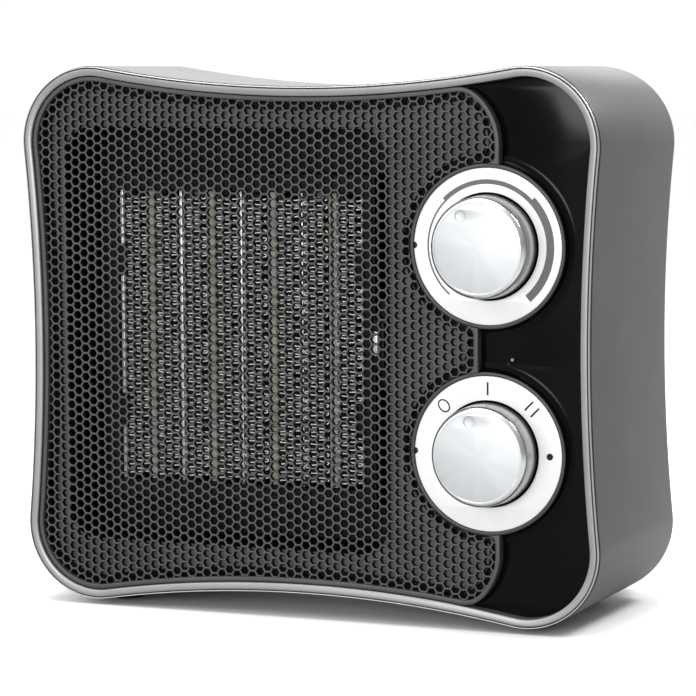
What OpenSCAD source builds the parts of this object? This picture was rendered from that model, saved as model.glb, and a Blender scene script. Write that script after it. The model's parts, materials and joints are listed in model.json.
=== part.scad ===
// Ceramic fan heater. A sleeve with waisted sides is closed by a front panel, which carries a hexagon
// grille and two dials, and by a rear cover with ring-shaped air slots. Behind the grille stands a
// finned ceramic heating element, and behind that an axial fan on a shaded-pole motor.
//
// Millimetres. X runs along the width, the front faces -Y, and Z is up. The origin lies on the table,
// under the middle of the heater. Modules work with a depth measured back from the front edge.

/* [Housing] */
// Width of the sleeve at its front edge
body_w = 241; // [238:0.5:248]
// Height of the sleeve at its front edge
body_h = 212; // [211:0.5:220]
// Radius of the four corners
corner_r = 30; // [28:0.5:32]
// How far the top and the bottom edge dip in at mid width
waist_top = 7.7; // [5:0.1:9]
// How far the side edges dip in at mid height
waist_side = 3.7; // [3:0.1:6]
// How far each side leans out on its way to the rear
flare = 2.5; // [0:0.1:3]
// How far the top and the bottom lean in on their way to the rear
taper = 1.5; // [0:0.1:2]
// Wall thickness of the sleeve
wall = 2.5; // [2:0.1:2.8]
// Depth of the whole housing, from the front edge to the back of the rear cover
body_d = 114; // [113:0.5:118]

/* [Front] */
// Gap between the sleeve and the trim
seam = 0.4; // [0.3:0.1:0.8]
// Width of the bright trim around the front
trim_w = 3.9; // [3.6:0.1:4.2]
// Depth of the gloss panel behind the front edge
panel_d = 5; // [5:0.1:5.5]
// Distance between hexagon centres in the grille
hex_pitch = 9; // [8:0.5:14]
// Width of the bars between the hexagons
hex_bar = 2; // [1.6:0.1:3]

/* [Controls] */
// Distance of both dials from the middle of the heater
dial_x = 75.6; // [75:0.1:76.5]
// Height between the two dials
dial_pitch = 78.4; // [78:0.1:80]
// How far below mid height the pair of dials sits
dial_drop = 0.8; // [0:0.1:1.5]
// Radius of the dial plates
dial_r = 29.6; // [29:0.1:30]
// Radius of the knobs at their base
knob_r = 19.6; // [18:0.1:21]
// How far the knobs stand out in front of the front edge
knob_out = 9.5; // [8:0.1:12]
// Thermostat setting at rest, clockwise from straight up
thermostat_rest = -28.6; // [-140:0.1:140]
// Switch setting at rest, clockwise from straight up
switch_rest = -13.7; // [-45:0.1:90]

/* [Heating element] */
// Distance of the element and the fan left of the middle
element_left = 35.2; // [34.8:0.1:35.8]
// Distance between the bright plates of the element
cell_pitch = 26.1; // [25:0.1:26.2]
// Height of the element
element_h = 116; // [110:0.5:118]
// Thickness of a bright plate
plate_t = 1.2; // [0.8:0.1:1.6]
// Thickness of a row of ceramic stones
ceramic_t = 3.6; // [3:0.1:5]
// Height of one fold of the fins
fin_pitch = 3.9; // [3.5:0.1:6]

/* [Fan] */
// Radius of the fan
fan_r = 51.5; // [45:0.5:52]
// Number of fan blades
blades = 7; // [5:1:9]
// Pitch of the fan blades to the plane of the fan
blade_pitch = 32; // [20:1:40]

/* [Hidden] */
$fn = 96;
eps = 0.01;
cells = 4;
fins = 2 * cells;
arc_steps = 12;
round_steps = 6;

foot_drop = 2;
foot_r = 7;
foot_x = 88;
foot_depths = [22, 74];
foot_grip = 1.2;

half_w = body_w / 2;
half_h = body_h / 2;
mid_z = half_h + foot_drop;
front_y = -(body_d - knob_out) / 2;

// Corner centres, and the large circles that cut the four waists
corner_x = half_w - corner_r;
corner_z = half_h - corner_r;
top_rise = corner_r - waist_top;
top_r = (corner_x * corner_x + top_rise * top_rise - corner_r * corner_r) / (2 * waist_top);
top_z = half_h - waist_top + top_r;
side_rise = corner_r - waist_side;
side_r = (corner_z * corner_z + side_rise * side_rise - corner_r * corner_r) / (2 * waist_side);
side_x = half_w - waist_side + side_r;
side_turn = atan2(-corner_z, side_x - corner_x);
top_turn = atan2(top_z - corner_z, -corner_x);

// Rings of the front, as insets from the outline
trim_side = 1.4;
trim_back = 9;
sleeve_edge = trim_side + seam;
panel_inset = trim_w + 0.2;
panel_t = 2.5;
panel_back = panel_d + panel_t;
skirt_t = 2;
skirt_back = 16;

// Rear edge of the sleeve and the rear cover
straight_d = 82;
rear_d = 92;
rear_lip = 8;
cover_skirt = rear_lip + 0.3;
cover_wall = 2.5;
cover_flange = 6.5;
cover_rim_d = 95.5;
cover_flat = 20;
cover_front = 84;
slot_w = 4.5;
slot_step = 7.5;
slot_first = 12;
slot_count = 6;
post_x = 88;
post_z = 74;
post_r = 5.2;
boss_r = 4.5;
shroud_boss = 50;
panel_boss = 20;
screw_r = 1.5;
screw_grip = 8;
head_r = 3.1;
head_h = 2.5;
seat_t = 4;
post_hole = head_r + 0.2;
gland_pos = [62, -62];
gland_bore = 3.6;

// Dials and knobs
dial_zs = [dial_pitch / 2 - dial_drop, -dial_pitch / 2 - dial_drop];
ring_r = dial_r + 1.6;
dial_front = 2;
dial_t = 1.2;
ring_front = 1.4;
ledge_r = 26;
well_r = 20.4;
knob_base = 2.8;
spindle_r = 3;
spindle_flat = 2.2;
spindle_back = 20;
control_bush_r = 5;
bush_hole_r = control_bush_r + 0.1;
tab_w = 6.3;
tab_t = 0.8;
dimple_r = 14;
control_back = 27;
control_w = 34;
lamp_pos = [84.4, -4.3];
lamp_r = 1.5;

// Grille
mesh_front = 2.2;
mesh_t = 1.6;
grille_gap = 0.3;
ridge_w = 2;
ridge_front = 1;
lobe_x = 56.6;
lobe_z = 77.4;
lobe_r = 24.1;
neck_x = 72.1;
shoulder_x = lobe_x + lobe_r;

// Element, duct, fan and motor
element_x = -element_left;
element_z = -1.4;
element_front = 21;
element_back = 39;
frame_w = 116;
cutout_x = element_x + frame_w / 2;
cutout_front = 16;
window_w = 138;
window_h = 164;
window_r = 12;
frame_h = 130;
frame_front = 19;
frame_back = 41;
tab_z = 30;
tab_h = 12.5;
flange_front = 35;
flange_back = 38;
duct_wall = 2;
duct_back = 44;
shroud_t = 2;
ring_in = 54;
ring_out = 56.5;
ring_back = 77;
arm_front = 74;
hub_r = 14;
fan_front = 52;
fan_back = 70;
shaft_r = 2;
rotor_r = 12;
bush_r = 4.5;
stator_front = 88;
stator_back = 103;
motor_back = 110.5;
motor_screw_x = 25;

// ---------- Outline ----------

function arc(cx, cz, r, from, to) =
    [for (i = [0:arc_steps - 1])
        let (a = from + (to - from) * i / arc_steps)
        [cx + r * cos(a), cz + r * sin(a)]];

// The waisted outline, moved inwards by inset, as points in X and Z
function outline(inset) =
    let (r = corner_r - inset, rt = top_r + inset, rs = side_r + inset)
    concat(
        arc(corner_x, corner_z, r, side_turn, top_turn),
        arc(0, top_z, rt, top_turn + 180, 360 - top_turn),
        arc(-corner_x, corner_z, r, 180 - top_turn, 180 - side_turn),
        arc(-side_x, 0, rs, -side_turn, side_turn),
        arc(-corner_x, -corner_z, r, 180 + side_turn, 180 + top_turn),
        arc(0, -top_z, rt, top_turn, 180 - top_turn),
        arc(corner_x, -corner_z, r, -top_turn, -side_turn),
        arc(side_x, 0, rs, 180 - side_turn, 180 + side_turn)
    );

// Share of the lean that the housing has reached at a depth
function lean(depth) = min(1, max(0, depth / straight_d));

function outline_at(inset, depth) =
    let (sx = 1 + flare * lean(depth) / half_w, sz = 1 - taper * lean(depth) / half_h)
    [for (p = outline(inset)) [p[0] * sx, p[1] * sz]];

// Points of a quarter ellipse from (inset, depth), reaching across by di and back by dd
function quarter(inset, depth, di, dd) =
    [for (i = [0:round_steps])
        let (a = 90 * i / round_steps)
        [inset + di * (1 - cos(a)), depth + dd * sin(a)]];

function reversed(list) = [for (i = [len(list) - 1:-1:0]) list[i]];

function rounded_rect(w, h, r) =
    [for (q = [0:3], i = [0:arc_steps])
        let (a = 90 * (q + i / arc_steps), sx = q == 0 || q == 3 ? 1 : -1, sy = q < 2 ? 1 : -1)
        [sx * (w / 2 - r) + r * cos(a), sy * (h / 2 - r) + r * sin(a)]];

// ---------- Placing ----------

module in_place() {
    translate([0, front_y, mid_z])
        children();
}

// A flat shape drawn in X and Z, filled from depth a to depth b
module slab(a, b) {
    translate([0, b, 0])
        rotate([90, 0, 0])
            linear_extrude(b - a)
                children();
}

// A round bar from depth a to depth b
module bar(x, z, a, b, r) {
    translate([x, b, z])
        rotate([90, 0, 0])
            cylinder(h = b - a, r = r);
}

module tube(x, z, a, b, r, hole) {
    difference() {
        bar(x, z, a, b, r);
        bar(x, z, a - 1, b + 1, hole);
    }
}

// A block given by its lowest corner and its size, with depth in the middle
module block(corner, size) {
    translate(corner)
        cube(size);
}

// A profile of radius and depth, turned about an axis along the depth
module turned(x, z, profile) {
    translate([x, 0, z])
        rotate([-90, 0, 0])
            rotate_extrude()
                polygon(profile);
}

// A closed section of inset and depth, carried round the outline
module carried(section) {
    n = len(outline(0));
    m = len(section);
    points = [for (s = section) for (p = outline_at(s[0], s[1])) [p[0], s[1], p[1]]];
    faces = [for (i = [0:m - 1], j = [0:n - 1], half = [0, 1])
        let (i2 = (i + 1) % m, j2 = (j + 1) % n)
        half == 0 ? [i * n + j, i * n + j2, i2 * n + j2] : [i * n + j, i2 * n + j2, i2 * n + j]];
    polyhedron(points, faces);
}

// ---------- Housing ----------

module main_shell() {
    section = concat(
        [[0, sleeve_edge + 0.4], [0.3, sleeve_edge], [wall, sleeve_edge], [wall, straight_d]],
        quarter(wall, straight_d, rear_lip - wall, rear_d - straight_d - wall),
        reversed(quarter(0, straight_d, rear_lip, rear_d - straight_d))
    );
    color("dimgray")
        in_place()
            difference() {
                carried(reversed(section));
                for (x = [-foot_x, foot_x], d = foot_depths)
                    foot_pad(x, d, foot_r + 0.1);
            }
}

// The space of one foot: from the table up into the sleeve's wall
module foot_pad(x, depth, r) {
    top = -half_h + taper * lean(depth) + foot_grip;
    translate([x, depth, -mid_z])
        cylinder(h = top + mid_z, r = r);
}

module foot(side, row) {
    color("black")
        in_place()
            foot_pad(side * foot_x, foot_depths[row], foot_r);
}

module front_trim() {
    section = [
        [0, trim_side], [0.1, 0.8], [0.5, 0.3], [1.3, 0], [trim_w - 0.5, 0.6], [trim_w, 1],
        [trim_w, trim_back], [wall + 0.3, trim_back], [wall + 0.3, trim_side]
    ];
    color("silver")
        in_place()
            carried(section);
}

module front_panel() {
    color("black")
        in_place()
            difference() {
                union() {
                    slab(panel_d, panel_back)
                        polygon(outline(panel_inset));
                    slab(panel_back - eps, skirt_back)
                        difference() {
                            polygon(outline(panel_inset));
                            polygon(outline(panel_inset + skirt_t));
                        }
                    for (z = dial_zs)
                        bar(dial_x, z, ring_front, panel_d + eps, ring_r);
                    for (s = [-1, 1])
                        bar(post_x, s * post_z, panel_back - eps, panel_boss, boss_r);
                }
                slab(panel_d - 1, panel_back + 1)
                    translate([element_x, 0])
                        polygon(rounded_rect(window_w, window_h, window_r));
                for (z = dial_zs) {
                    bar(dial_x, z, 0, dial_front + dial_t, dial_r + 0.1);
                    bar(dial_x, z, 0, panel_d, ledge_r);
                    bar(dial_x, z, 0, panel_back + 1, bush_hole_r);
                }
                bar(lamp_pos[0], lamp_pos[1], 0, panel_back + 1, lamp_r + 0.1);
                for (s = [-1, 1])
                    bar(post_x, s * post_z, panel_boss - screw_grip - 1, panel_boss + 1, screw_r);
            }
}

// ---------- Grille ----------

// Outline of the grille moved inwards by inset: it wraps round both dials on its right side
module grille_area(inset) {
    difference() {
        intersection() {
            polygon(outline(panel_inset + inset));
            translate([0, -dial_drop])
                union() {
                    left = -body_w;
                    translate([left, -body_h])
                        square([lobe_x - left, 2 * body_h]);
                    translate([left, -lobe_z])
                        square([neck_x - inset - left, 2 * lobe_z]);
                    for (s = [-1, 1]) {
                        translate([0, s * lobe_z])
                            circle(lobe_r - inset);
                        translate([lobe_x, s * lobe_z])
                            circle(lobe_r - inset);
                        translate([0, s > 0 ? dial_pitch / 2 : -lobe_z])
                            square([shoulder_x - inset, lobe_z - dial_pitch / 2]);
                    }
                }
        }
        for (z = dial_zs)
            translate([dial_x, z])
                circle(ring_r + grille_gap + inset);
    }
}

// True where a hexagon stays on the mesh, at least margin away from its border
function on_mesh(x, z, margin) =
    let (
        m = panel_inset + margin,
        zl = abs(z + dial_drop),
        inside_waists = norm([x, abs(z) - top_z]) > top_r + m && norm([abs(x) - side_x, z]) > side_r + m,
        in_corner = abs(x) < corner_x || abs(z) < corner_z
            || norm([abs(x) - corner_x, abs(z) - corner_z]) < corner_r - m,
        in_lobes = x < lobe_x - margin || (zl < lobe_z && x < neck_x - margin)
            || (zl < lobe_z && zl > dial_pitch / 2 && x < shoulder_x - margin)
            || norm([x - lobe_x, zl - lobe_z]) < lobe_r - margin,
        off_dials = min([for (dz = dial_zs) norm([x - dial_x, z - dz])]) > ring_r + grille_gap + margin
    )
    inside_waists && in_corner && in_lobes && off_dials;

module grille() {
    column = hex_pitch * sqrt(3) / 2;
    hex_r = (hex_pitch - hex_bar) / sqrt(3);
    columns = ceil(half_w / column);
    rows = ceil(half_h / hex_pitch);
    color([0.13, 0.13, 0.14])
        in_place()
            union() {
                slab(mesh_front, mesh_front + mesh_t)
                    difference() {
                        grille_area(0);
                        for (i = [-columns:columns], j = [-rows:rows]) {
                            x = i * column;
                            z = (j + (i % 2 == 0 ? 0 : 0.5)) * hex_pitch;
                            if (on_mesh(x, z, hex_r + 3))
                                translate([x, z])
                                    circle(hex_r, $fn = 6);
                        }
                    }
                slab(mesh_front, panel_d)
                    difference() {
                        grille_area(0);
                        grille_area(2.6);
                    }
                slab(ridge_front, mesh_front + eps)
                    difference() {
                        grille_area(0);
                        grille_area(ridge_w);
                    }
            }
}

// ---------- Rear ----------

// Ring-shaped air slots around the fan's axis, bridged by ribs
module air_slots() {
    difference() {
        for (k = [0:slot_count - 1])
            difference() {
                circle(slot_first + k * slot_step + slot_w);
                circle(slot_first + k * slot_step);
            }
        for (a = [0, 45, 90, 135])
            rotate(a)
                square([2 * body_w, 3.5], center = true);
    }
}

module rear_cover() {
    inner = cover_skirt + 2;
    section = concat(
        [[cover_skirt, rear_d], [cover_flange, rear_d]],
        quarter(cover_flange, cover_rim_d, cover_flat - cover_flange, body_d - cover_rim_d),
        [[cover_flat + 4, body_d], [cover_flat + 4, body_d - cover_wall]],
        reversed(quarter(inner, cover_rim_d, cover_flat - inner, body_d - cover_wall - cover_rim_d)),
        [[inner, cover_front], [cover_skirt, cover_front]]
    );
    color([0.2, 0.2, 0.21])
        in_place()
            difference() {
                union() {
                    carried(section);
                    slab(body_d - cover_wall, body_d)
                        polygon(outline_at(cover_flat + 3, body_d));
                    bar(gland_pos[0], gland_pos[1], body_d - 8, body_d - 1, 9);
                }
                slab(body_d - cover_wall - 1, body_d + 1)
                    translate([element_x, 0])
                        air_slots();
                for (x = [-post_x, post_x], z = [-post_z, post_z])
                    bar(x, z, body_d - cover_wall - 1, body_d + 1, post_hole);
                bar(gland_pos[0], gland_pos[1], body_d - 9, body_d + 1, 5.6);
                bar(gland_pos[0], gland_pos[1], body_d - 1.5, body_d + 1, 7.6);
            }
}

// Depth at which the posts of one side meet the bosses they are screwed to
function post_front(x) = x < 0 ? shroud_boss : panel_boss;

// Hollow posts that stand on the inside of the rear cover, one for each screw
module cover_posts() {
    color([0.2, 0.2, 0.21])
        in_place()
            for (x = [-post_x, post_x], z = [-post_z, post_z])
                difference() {
                    bar(x, z, post_front(x), body_d - cover_wall, post_r);
                    bar(x, z, post_front(x) + seat_t, body_d, post_hole);
                    bar(x, z, post_front(x) - 1, body_d, screw_r + 0.2);
                }
}

module cord_gland() {
    color("black")
        in_place()
            turned(gland_pos[0], gland_pos[1], [
                [gland_bore, body_d - 10], [5.5, body_d - 10], [5.5, body_d - 1.5],
                [7.5, body_d - 1.5], [7.5, body_d - 0.4], [7.1, body_d], [gland_bore, body_d]
            ]);
}

module cover_screws() {
    color("silver")
        in_place()
            for (x = [-post_x, post_x], z = [-post_z, post_z]) {
                seat = post_front(x) + seat_t;
                difference() {
                    union() {
                        bar(x, z, post_front(x) - screw_grip, seat + eps, screw_r - 0.01);
                        bar(x, z, seat, seat + head_h, head_r);
                    }
                    for (a = [0, 90])
                        translate([x, seat + head_h - 1.2, z])
                            rotate([0, a, 0])
                                block([-2, 0, -0.4], [4, 2, 0.8]);
                }
            }
}

// ---------- Controls ----------

module dial(z) {
    color("whitesmoke")
        in_place()
            slab(dial_front, dial_front + dial_t)
                translate([dial_x, z])
                    difference() {
                        circle(dial_r);
                        circle(well_r);
                        translate([-dial_r, 0])
                            circle(1.25);
                    }
}

// The flat-sided bar of a control spindle, or with extra the hole for it
module flat_bar(z, a, b, extra) {
    reach = 2 * spindle_r;
    intersection() {
        bar(dial_x, z, a, b, spindle_r + extra);
        block([dial_x - reach, a, z - reach], [2 * reach, b - a, reach + spindle_flat + extra]);
    }
}

module knob(z, setting) {
    face = -knob_out;
    color("lightgray")
        in_place()
            difference() {
                turned(dial_x, z, [
                    [0, face + 0.3], [knob_r - 3.4, face + 0.3], [knob_r - 3, face], [knob_r - 2.3, face],
                    [knob_r - 0.7, face + 1.5], [knob_r, knob_base], [knob_r - 1.8, knob_base],
                    [knob_r - 2.3, face + 2.7], [6, face + 2.7], [6, knob_base - 0.3], [0, knob_base - 0.3]
                ]);
                flat_bar(z, face + 3.5, knob_base, 0.04);
                translate([dial_x + dimple_r * sin(setting), face - 2.8, z + dimple_r * cos(setting)])
                    sphere(r = 4);
            }
}

module spindle(z) {
    color("gray")
        in_place()
            union() {
                flat_bar(z, -knob_out + 3.8, knob_base + 0.1, 0);
                bar(dial_x, z, knob_base + 0.1 - eps, spindle_back, spindle_r);
            }
}

// The threaded bush by which a control is clamped to the panel
module control_bush(z) {
    bar(dial_x, z, dial_front + dial_t + 0.1, panel_back + 1, control_bush_r);
}

// A push-on wiring tab of the usual 6.3 mm kind
module tab(x, z, from, to) {
    block([x - tab_w / 2, from - eps, z - tab_t / 2], [tab_w, to - from, tab_t]);
}

module thermostat_body() {
    z = dial_zs[0];
    color("tan")
        in_place()
            difference() {
                union() {
                    control_bush(z);
                    block([dial_x - 13, panel_back, z - 15], [26, 4, 30]);
                    block([dial_x - 9, panel_back + 4 - eps, z - 13], [18, 9, 26]);
                    for (s = [-1, 1])
                        tab(dial_x, z + s * 9, 20.5, control_back);
                }
                bar(dial_x, z, 0, spindle_back + 0.2, spindle_r + 0.05);
            }
}

module switch_body() {
    z = dial_zs[1];
    half = control_w / 2;
    color("ivory")
        in_place()
            difference() {
                union() {
                    control_bush(z);
                    block([dial_x - half, panel_back, z - half], [control_w, 15, control_w]);
                    for (sx = [-1, 1], sz = [-1, 1])
                        tab(dial_x + sx * 10, z + sz * 9, 22.5, control_back);
                }
                bar(dial_x, z, 0, spindle_back + 0.2, spindle_r + 0.05);
            }
}

module control_nuts() {
    color("silver")
        in_place()
            for (z = dial_zs)
                slab(dial_front + dial_t + 0.1, panel_d)
                    translate([dial_x, z])
                        difference() {
                            circle(8, $fn = 6);
                            circle(5.02);
                        }
}

module pilot_lamp() {
    color("orange")
        in_place()
            turned(lamp_pos[0], lamp_pos[1], [
                [0, panel_d - 0.6], [0.9, panel_d - 0.4], [lamp_r, panel_d + 0.1], [lamp_r, panel_back],
                [3, panel_back], [3, 20], [0, 20]
            ]);
}

// ---------- Heating element ----------

module plate(i) {
    x = element_x + (i - 1 - cells / 2) * cell_pitch;
    color("silver")
        in_place()
            block([x - plate_t / 2, element_front, element_z - element_h / 2],
                [plate_t, element_back - element_front, element_h]);
}

module ceramic_row(i) {
    x = element_x + (i - (cells + 1) / 2) * cell_pitch;
    color("tan")
        in_place()
            block([x - ceramic_t / 2, element_front + 0.6, element_z - element_h / 2],
                [ceramic_t, element_back - element_front - 1.2, element_h]);
}

// One column of folded strip between a plate and a row of ceramic stones
module fin_strip(i) {
    fold_w = (cell_pitch - plate_t - ceramic_t) / 2 - 0.1;
    aside = (ceramic_t - plate_t) / 4;
    x = element_x + (i - (fins + 1) / 2) * cell_pitch / 2 + (i % 2 == 0 ? aside : -aside);
    folds = floor((element_h - 2) / (fin_pitch / 2));
    strip = 1.6;
    low = element_z - folds * fin_pitch / 4;
    swing = (fold_w - strip) / 2;
    edge = [for (k = [0:folds]) [x + (k % 2 == 0 ? -swing : swing), low + k * fin_pitch / 2]];
    color("lightgray")
        in_place()
            slab(element_front + 0.3, element_back - 0.3)
                polygon(concat(
                    [for (p = edge) [p[0] + strip / 2, p[1]]],
                    [for (p = reversed(edge)) [p[0] - strip / 2, p[1]]]
                ));
}

module element_frame() {
    inner_w = cells * cell_pitch + plate_t + 0.2;
    inner_h = element_h + 0.2;
    color([0.15, 0.15, 0.15])
        in_place()
            translate([element_x, 0, element_z])
                difference() {
                    union() {
                        slab(frame_front, frame_back)
                            square([frame_w, frame_h], center = true);
                        slab(flange_front, flange_back)
                            square([frame_w + 8, frame_h + 8], center = true);
                    }
                    slab(element_front - 0.05, frame_back + 1)
                        square([inner_w, inner_h], center = true);
                    slab(frame_front - 1, element_front)
                        difference() {
                            square([inner_w, inner_h], center = true);
                            for (s = [-1, 1], t = [-1, 1])
                                translate([s * inner_w / 2, t * tab_z])
                                    square([6, tab_h], center = true);
                        }
                }
}

// The cutout sits on the side of the element's frame, with a bright contact strip on its front
module thermal_cutout() {
    color([0.15, 0.15, 0.15])
        in_place()
            union() {
                block([cutout_x, cutout_front, element_z - 10], [5, 10, 20]);
                for (z = [element_z - 17, element_z + 10 - eps])
                    block([cutout_x + 0.5, cutout_front + 6, z], [4, tab_t, 7 + eps]);
            }
}

module cutout_contact() {
    color("silver")
        in_place()
            block([cutout_x + 0.4, cutout_front - 1, element_z - 4.5], [2.2, 1, 9.5]);
}

module element_terminals() {
    color("silver")
        in_place()
            for (x = [element_x - cell_pitch, element_x + cell_pitch])
                block([x - tab_w / 2, frame_back, element_z + frame_h / 2 - 12], [tab_w, tab_t, 11]);
}

module duct_outline(grow) {
    polygon(rounded_rect(window_w + 2 * grow, window_h + 2 * grow, window_r - duct_wall + grow));
}

// The duct holds the element's frame, from the front panel to the fan's shroud
module air_duct() {
    color([0.1, 0.1, 0.1])
        in_place()
            translate([element_x, 0, 0])
                union() {
                    slab(panel_back, duct_back)
                        difference() {
                            duct_outline(duct_wall);
                            duct_outline(0);
                        }
                    slab(flange_back, flange_back + 2)
                        difference() {
                            duct_outline(0.5);
                            translate([0, element_z])
                                square([frame_w + 0.4, frame_h + 0.4], center = true);
                        }
                }
}

// A plate across the back of the duct, with the ring round the fan and the arms that carry the motor
module fan_shroud() {
    color([0.1, 0.1, 0.1])
        in_place()
            difference() {
                union() {
                    translate([element_x, 0, 0]) {
                        slab(duct_back, duct_back + shroud_t)
                            difference() {
                                duct_outline(duct_wall);
                                circle(ring_in);
                            }
                        tube(0, 0, duct_back, ring_back, ring_out, ring_in);
                        slab(arm_front, ring_back)
                            difference() {
                                union() {
                                    square([2 * ring_in + 2, 16], center = true);
                                    square([9, 2 * ring_in + 2], center = true);
                                }
                                circle(6);
                            }
                    }
                    for (s = [-1, 1])
                        bar(-post_x, s * post_z, shroud_boss - screw_grip - 1, shroud_boss, boss_r);
                }
                for (s = [-1, 1]) {
                    bar(element_x + s * motor_screw_x, 0, arm_front - 1, ring_back + 1, screw_r + 0.1);
                    bar(-post_x, s * post_z, shroud_boss - screw_grip - 2, shroud_boss + 1, screw_r);
                }
            }
}

// ---------- Fan and motor ----------

module fan() {
    color([0.25, 0.25, 0.27])
        in_place()
            translate([element_x, 0, 0])
                difference() {
                    union() {
                        bar(0, 0, fan_front, fan_back, hub_r);
                        intersection() {
                            tube(0, 0, fan_front + 1, fan_back - 1, fan_r, hub_r - 1);
                            for (i = [0:blades - 1])
                                rotate([0, i * 360 / blades, 0])
                                    translate([0, (fan_front + fan_back) / 2, 0])
                                        rotate([0, 0, blade_pitch])
                                            block([-20, -0.8, 0], [40, 1.6, fan_r + 1]);
                        }
                    }
                    bar(0, 0, fan_front + 2, fan_back + 1, shaft_r + 0.01);
                }
}

module motor_shaft() {
    color("silver")
        in_place()
            bar(element_x, 0, fan_front + 2.2, motor_back, shaft_r);
}

module rotor() {
    color("gray")
        in_place()
            tube(element_x, 0, stator_front - 0.5, stator_back + 0.5, rotor_r, shaft_r + 0.01);
}

module stator() {
    color("slategray")
        in_place()
            slab(stator_front, stator_back)
                translate([element_x, 0])
                    difference() {
                        translate([-30, -38])
                            square([60, 62]);
                        circle(rotor_r + 0.4);
                        translate([-20, -30])
                            square([40, 12]);
                        for (s = [-1, 1])
                            translate([s * motor_screw_x, 0])
                                circle(screw_r + 0.1);
                    }
}

module motor_coil() {
    color("peru")
        in_place()
            translate([element_x, 0, 0])
                difference() {
                    block([-18, stator_front - 5, -43], [36, stator_back - stator_front + 10, 18]);
                    block([-19, stator_front - 0.1, -38.1], [38, stator_back - stator_front + 0.2, 8.2]);
                }
}

// A strap across the motor with a cup for a bush, standing on two legs against the stator
module bracket(strap_a, strap_b, cup_a, cup_b, leg_a, leg_b) {
    color("darkgray")
        in_place()
            translate([element_x, 0, 0])
                difference() {
                    union() {
                        block([-30, strap_a, -8], [60, strap_b - strap_a, 16]);
                        bar(0, 0, cup_a, cup_b, 8);
                        for (s = [-1, 1])
                            block([s * motor_screw_x - 4, leg_a, -6], [8, leg_b - leg_a, 12]);
                    }
                    bar(0, 0, cup_a - 5, cup_b + 5, bush_r);
                    for (s = [-1, 1])
                        bar(s * motor_screw_x, 0, strap_a - 20, strap_b + 20, screw_r + 0.1);
                }
}

module front_bracket() {
    bracket(ring_back, ring_back + 2, ring_back, 84, ring_back + 1, stator_front);
}

module rear_bracket() {
    bracket(107, 109, 104.2, 109, stator_back, 108);
}

module bush(a, b) {
    color("goldenrod")
        in_place()
            tube(element_x, 0, a, b, bush_r, shaft_r + 0.05);
}

module motor_screws() {
    color("silver")
        in_place()
            for (s = [-1, 1]) {
                bar(element_x + s * motor_screw_x, 0, arm_front - 2, arm_front, head_r);
                bar(element_x + s * motor_screw_x, 0, arm_front - eps, 110, screw_r);
            }
}

// ---------- Nodes ----------

main_shell();
front_trim();
front_panel();
grille();
rear_cover();
cover_posts();
cord_gland();
foot(-1, 0);  // foot_front_left
foot(1, 0);  // foot_front_right
foot(-1, 1);  // foot_rear_left
foot(1, 1);  // foot_rear_right
dial(dial_zs[0]);  // thermostat_dial
dial(dial_zs[1]);  // switch_dial
knob(dial_zs[0], thermostat_rest);  // thermostat_knob
knob(dial_zs[1], switch_rest);  // switch_knob
spindle(dial_zs[0]);  // thermostat_spindle
spindle(dial_zs[1]);  // switch_spindle
thermostat_body();
switch_body();
control_nuts();
pilot_lamp();
air_duct();
fan_shroud();
element_frame();
thermal_cutout();
cutout_contact();
element_terminals();
for (i = [1:cells + 1])
    plate(i);
for (i = [1:fins])
    fin_strip(i);
for (i = [1:cells])
    ceramic_row(i);
fan();
motor_shaft();
rotor();
stator();
motor_coil();
front_bracket();
rear_bracket();
bush(ring_back + 0.5, 84);  // front_bush
bush(104.2, 109);  // rear_bush
motor_screws();
cover_screws();
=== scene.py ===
"""Visual model of a small ceramic fan heater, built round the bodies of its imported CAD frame."""

import json
import math
import random

import bmesh
import bpy
from mathutils import Matrix, Vector


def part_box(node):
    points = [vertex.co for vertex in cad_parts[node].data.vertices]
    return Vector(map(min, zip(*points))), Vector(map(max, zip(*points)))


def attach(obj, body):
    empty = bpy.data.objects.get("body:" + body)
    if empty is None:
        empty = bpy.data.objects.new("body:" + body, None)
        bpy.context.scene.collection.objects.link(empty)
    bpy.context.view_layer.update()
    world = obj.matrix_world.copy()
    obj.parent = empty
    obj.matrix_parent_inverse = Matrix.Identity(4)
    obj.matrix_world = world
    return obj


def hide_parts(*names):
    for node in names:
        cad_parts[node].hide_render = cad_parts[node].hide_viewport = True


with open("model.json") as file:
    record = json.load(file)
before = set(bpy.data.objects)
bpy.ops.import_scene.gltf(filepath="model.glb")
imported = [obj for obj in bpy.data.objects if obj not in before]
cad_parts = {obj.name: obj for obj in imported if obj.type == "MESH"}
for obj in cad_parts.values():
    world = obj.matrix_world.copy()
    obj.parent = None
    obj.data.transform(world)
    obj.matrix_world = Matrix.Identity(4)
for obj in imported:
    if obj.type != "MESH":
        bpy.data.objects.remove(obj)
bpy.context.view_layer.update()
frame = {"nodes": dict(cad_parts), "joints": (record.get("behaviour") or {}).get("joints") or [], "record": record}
random.seed(7)

MM = 0.001
TURN = 360

# ---------- Places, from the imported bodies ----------

shell_lo, shell_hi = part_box("main_shell")
FRONT_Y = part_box("front_trim")[0].y
MID_Z = (shell_lo.z + shell_hi.z) / 2


def centre_mm(node):
    """Middle of a CAD node in X and Z, in millimetres from the middle of the sleeve."""
    lo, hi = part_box(node)
    return (lo.x + hi.x) / 2 / MM, ((lo.z + hi.z) / 2 - MID_Z) / MM


def depth_mm(y):
    """Depth behind the front edge, in millimetres."""
    return (y - FRONT_Y) / MM


def place(x, depth, z):
    """A point given in millimetres from the sleeve's middle and its front edge, in the row frame."""
    return Vector((x * MM, FRONT_Y + depth * MM, MID_Z + z * MM))


DIALS = [centre_mm("thermostat_knob"), centre_mm("switch_knob")]
DIAL_X = DIALS[0][0]
DIAL_MID = (DIALS[0][1] + DIALS[1][1]) / 2
FRAME_X = centre_mm("element_frame")[0]
BACK = depth_mm(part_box("rear_cover")[1].y)

# ---------- Outline of the heater ----------

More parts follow.
